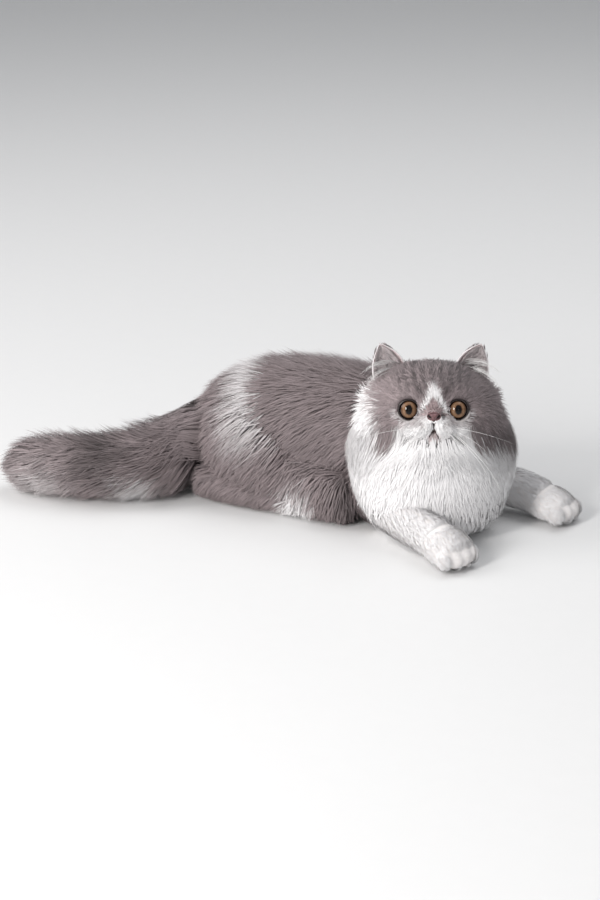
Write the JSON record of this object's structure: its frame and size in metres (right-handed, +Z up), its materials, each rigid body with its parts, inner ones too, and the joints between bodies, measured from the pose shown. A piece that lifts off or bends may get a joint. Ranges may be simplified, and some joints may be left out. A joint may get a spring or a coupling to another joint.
{
  "type": "persian cat, blue and white, lying down",
  "caption": "Life-size still model of a young long-haired Persian cat lying at full stretch with its head turned to the side, forelegs spread and tail laid out.",
  "frame": {"origin": "on the floor, under the middle of the torso, on the flat of the belly", "axes": "+X along the torso towards the chest, +Y to the cat's left, +Z up"},
  "size_m": [0.5132, 0.2107, 0.1637],
  "materials": {
    "grey_coat": "long soft blue-grey fur",
    "white_coat": "long soft white fur",
    "eye": "wet amber eye with a round black pupil",
    "ear_skin": "thin pinkish-grey skin under short hair"
  },
  "bodies": {
    "root": {"head": "grey_coat", "torso": "grey_coat", "thigh_left": "grey_coat", "thigh_right": "grey_coat", "hindfoot_left": "grey_coat", "hindfoot_right": "grey_coat", "upperarm_left": "grey_coat", "upperarm_right": "grey_coat", "tail_root": "grey_coat", "tail_middle": "grey_coat", "tail_tip": "grey_coat", "neck": "white_coat", "foreleg_left": "white_coat", "foreleg_right": "white_coat", "forepaw_left": "white_coat", "forepaw_right": "white_coat", "eye_left": "eye", "eye_right": "eye", "ear_left": "ear_skin", "ear_right": "ear_skin"}
  },
  "joints": []
}
